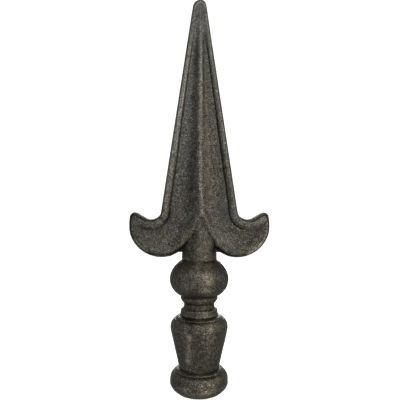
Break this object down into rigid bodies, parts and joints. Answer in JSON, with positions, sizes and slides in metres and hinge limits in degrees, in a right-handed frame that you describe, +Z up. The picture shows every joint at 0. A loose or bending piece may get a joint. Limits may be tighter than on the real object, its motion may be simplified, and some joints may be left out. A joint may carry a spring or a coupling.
{
  "type": "forged fence spike",
  "caption": "Iron fence spear point: a fluted blade with two upturned barbs over a turned ball, collar, vase and round foot, to weld on a picket.",
  "frame": {"origin": "centre of the flat underside of the foot", "axes": "+Z up along the stem to the point, barbs along -X and +X, the blade's flat sides face -Y and +Y"},
  "size_m": [0.0824, 0.0344, 0.23],
  "materials": {
    "iron": "bare dark iron with a fine sandy grain, unpainted, slightly worn on its edges"
  },
  "bodies": {
    "root": {"spike": "iron"}
  },
  "joints": []
}
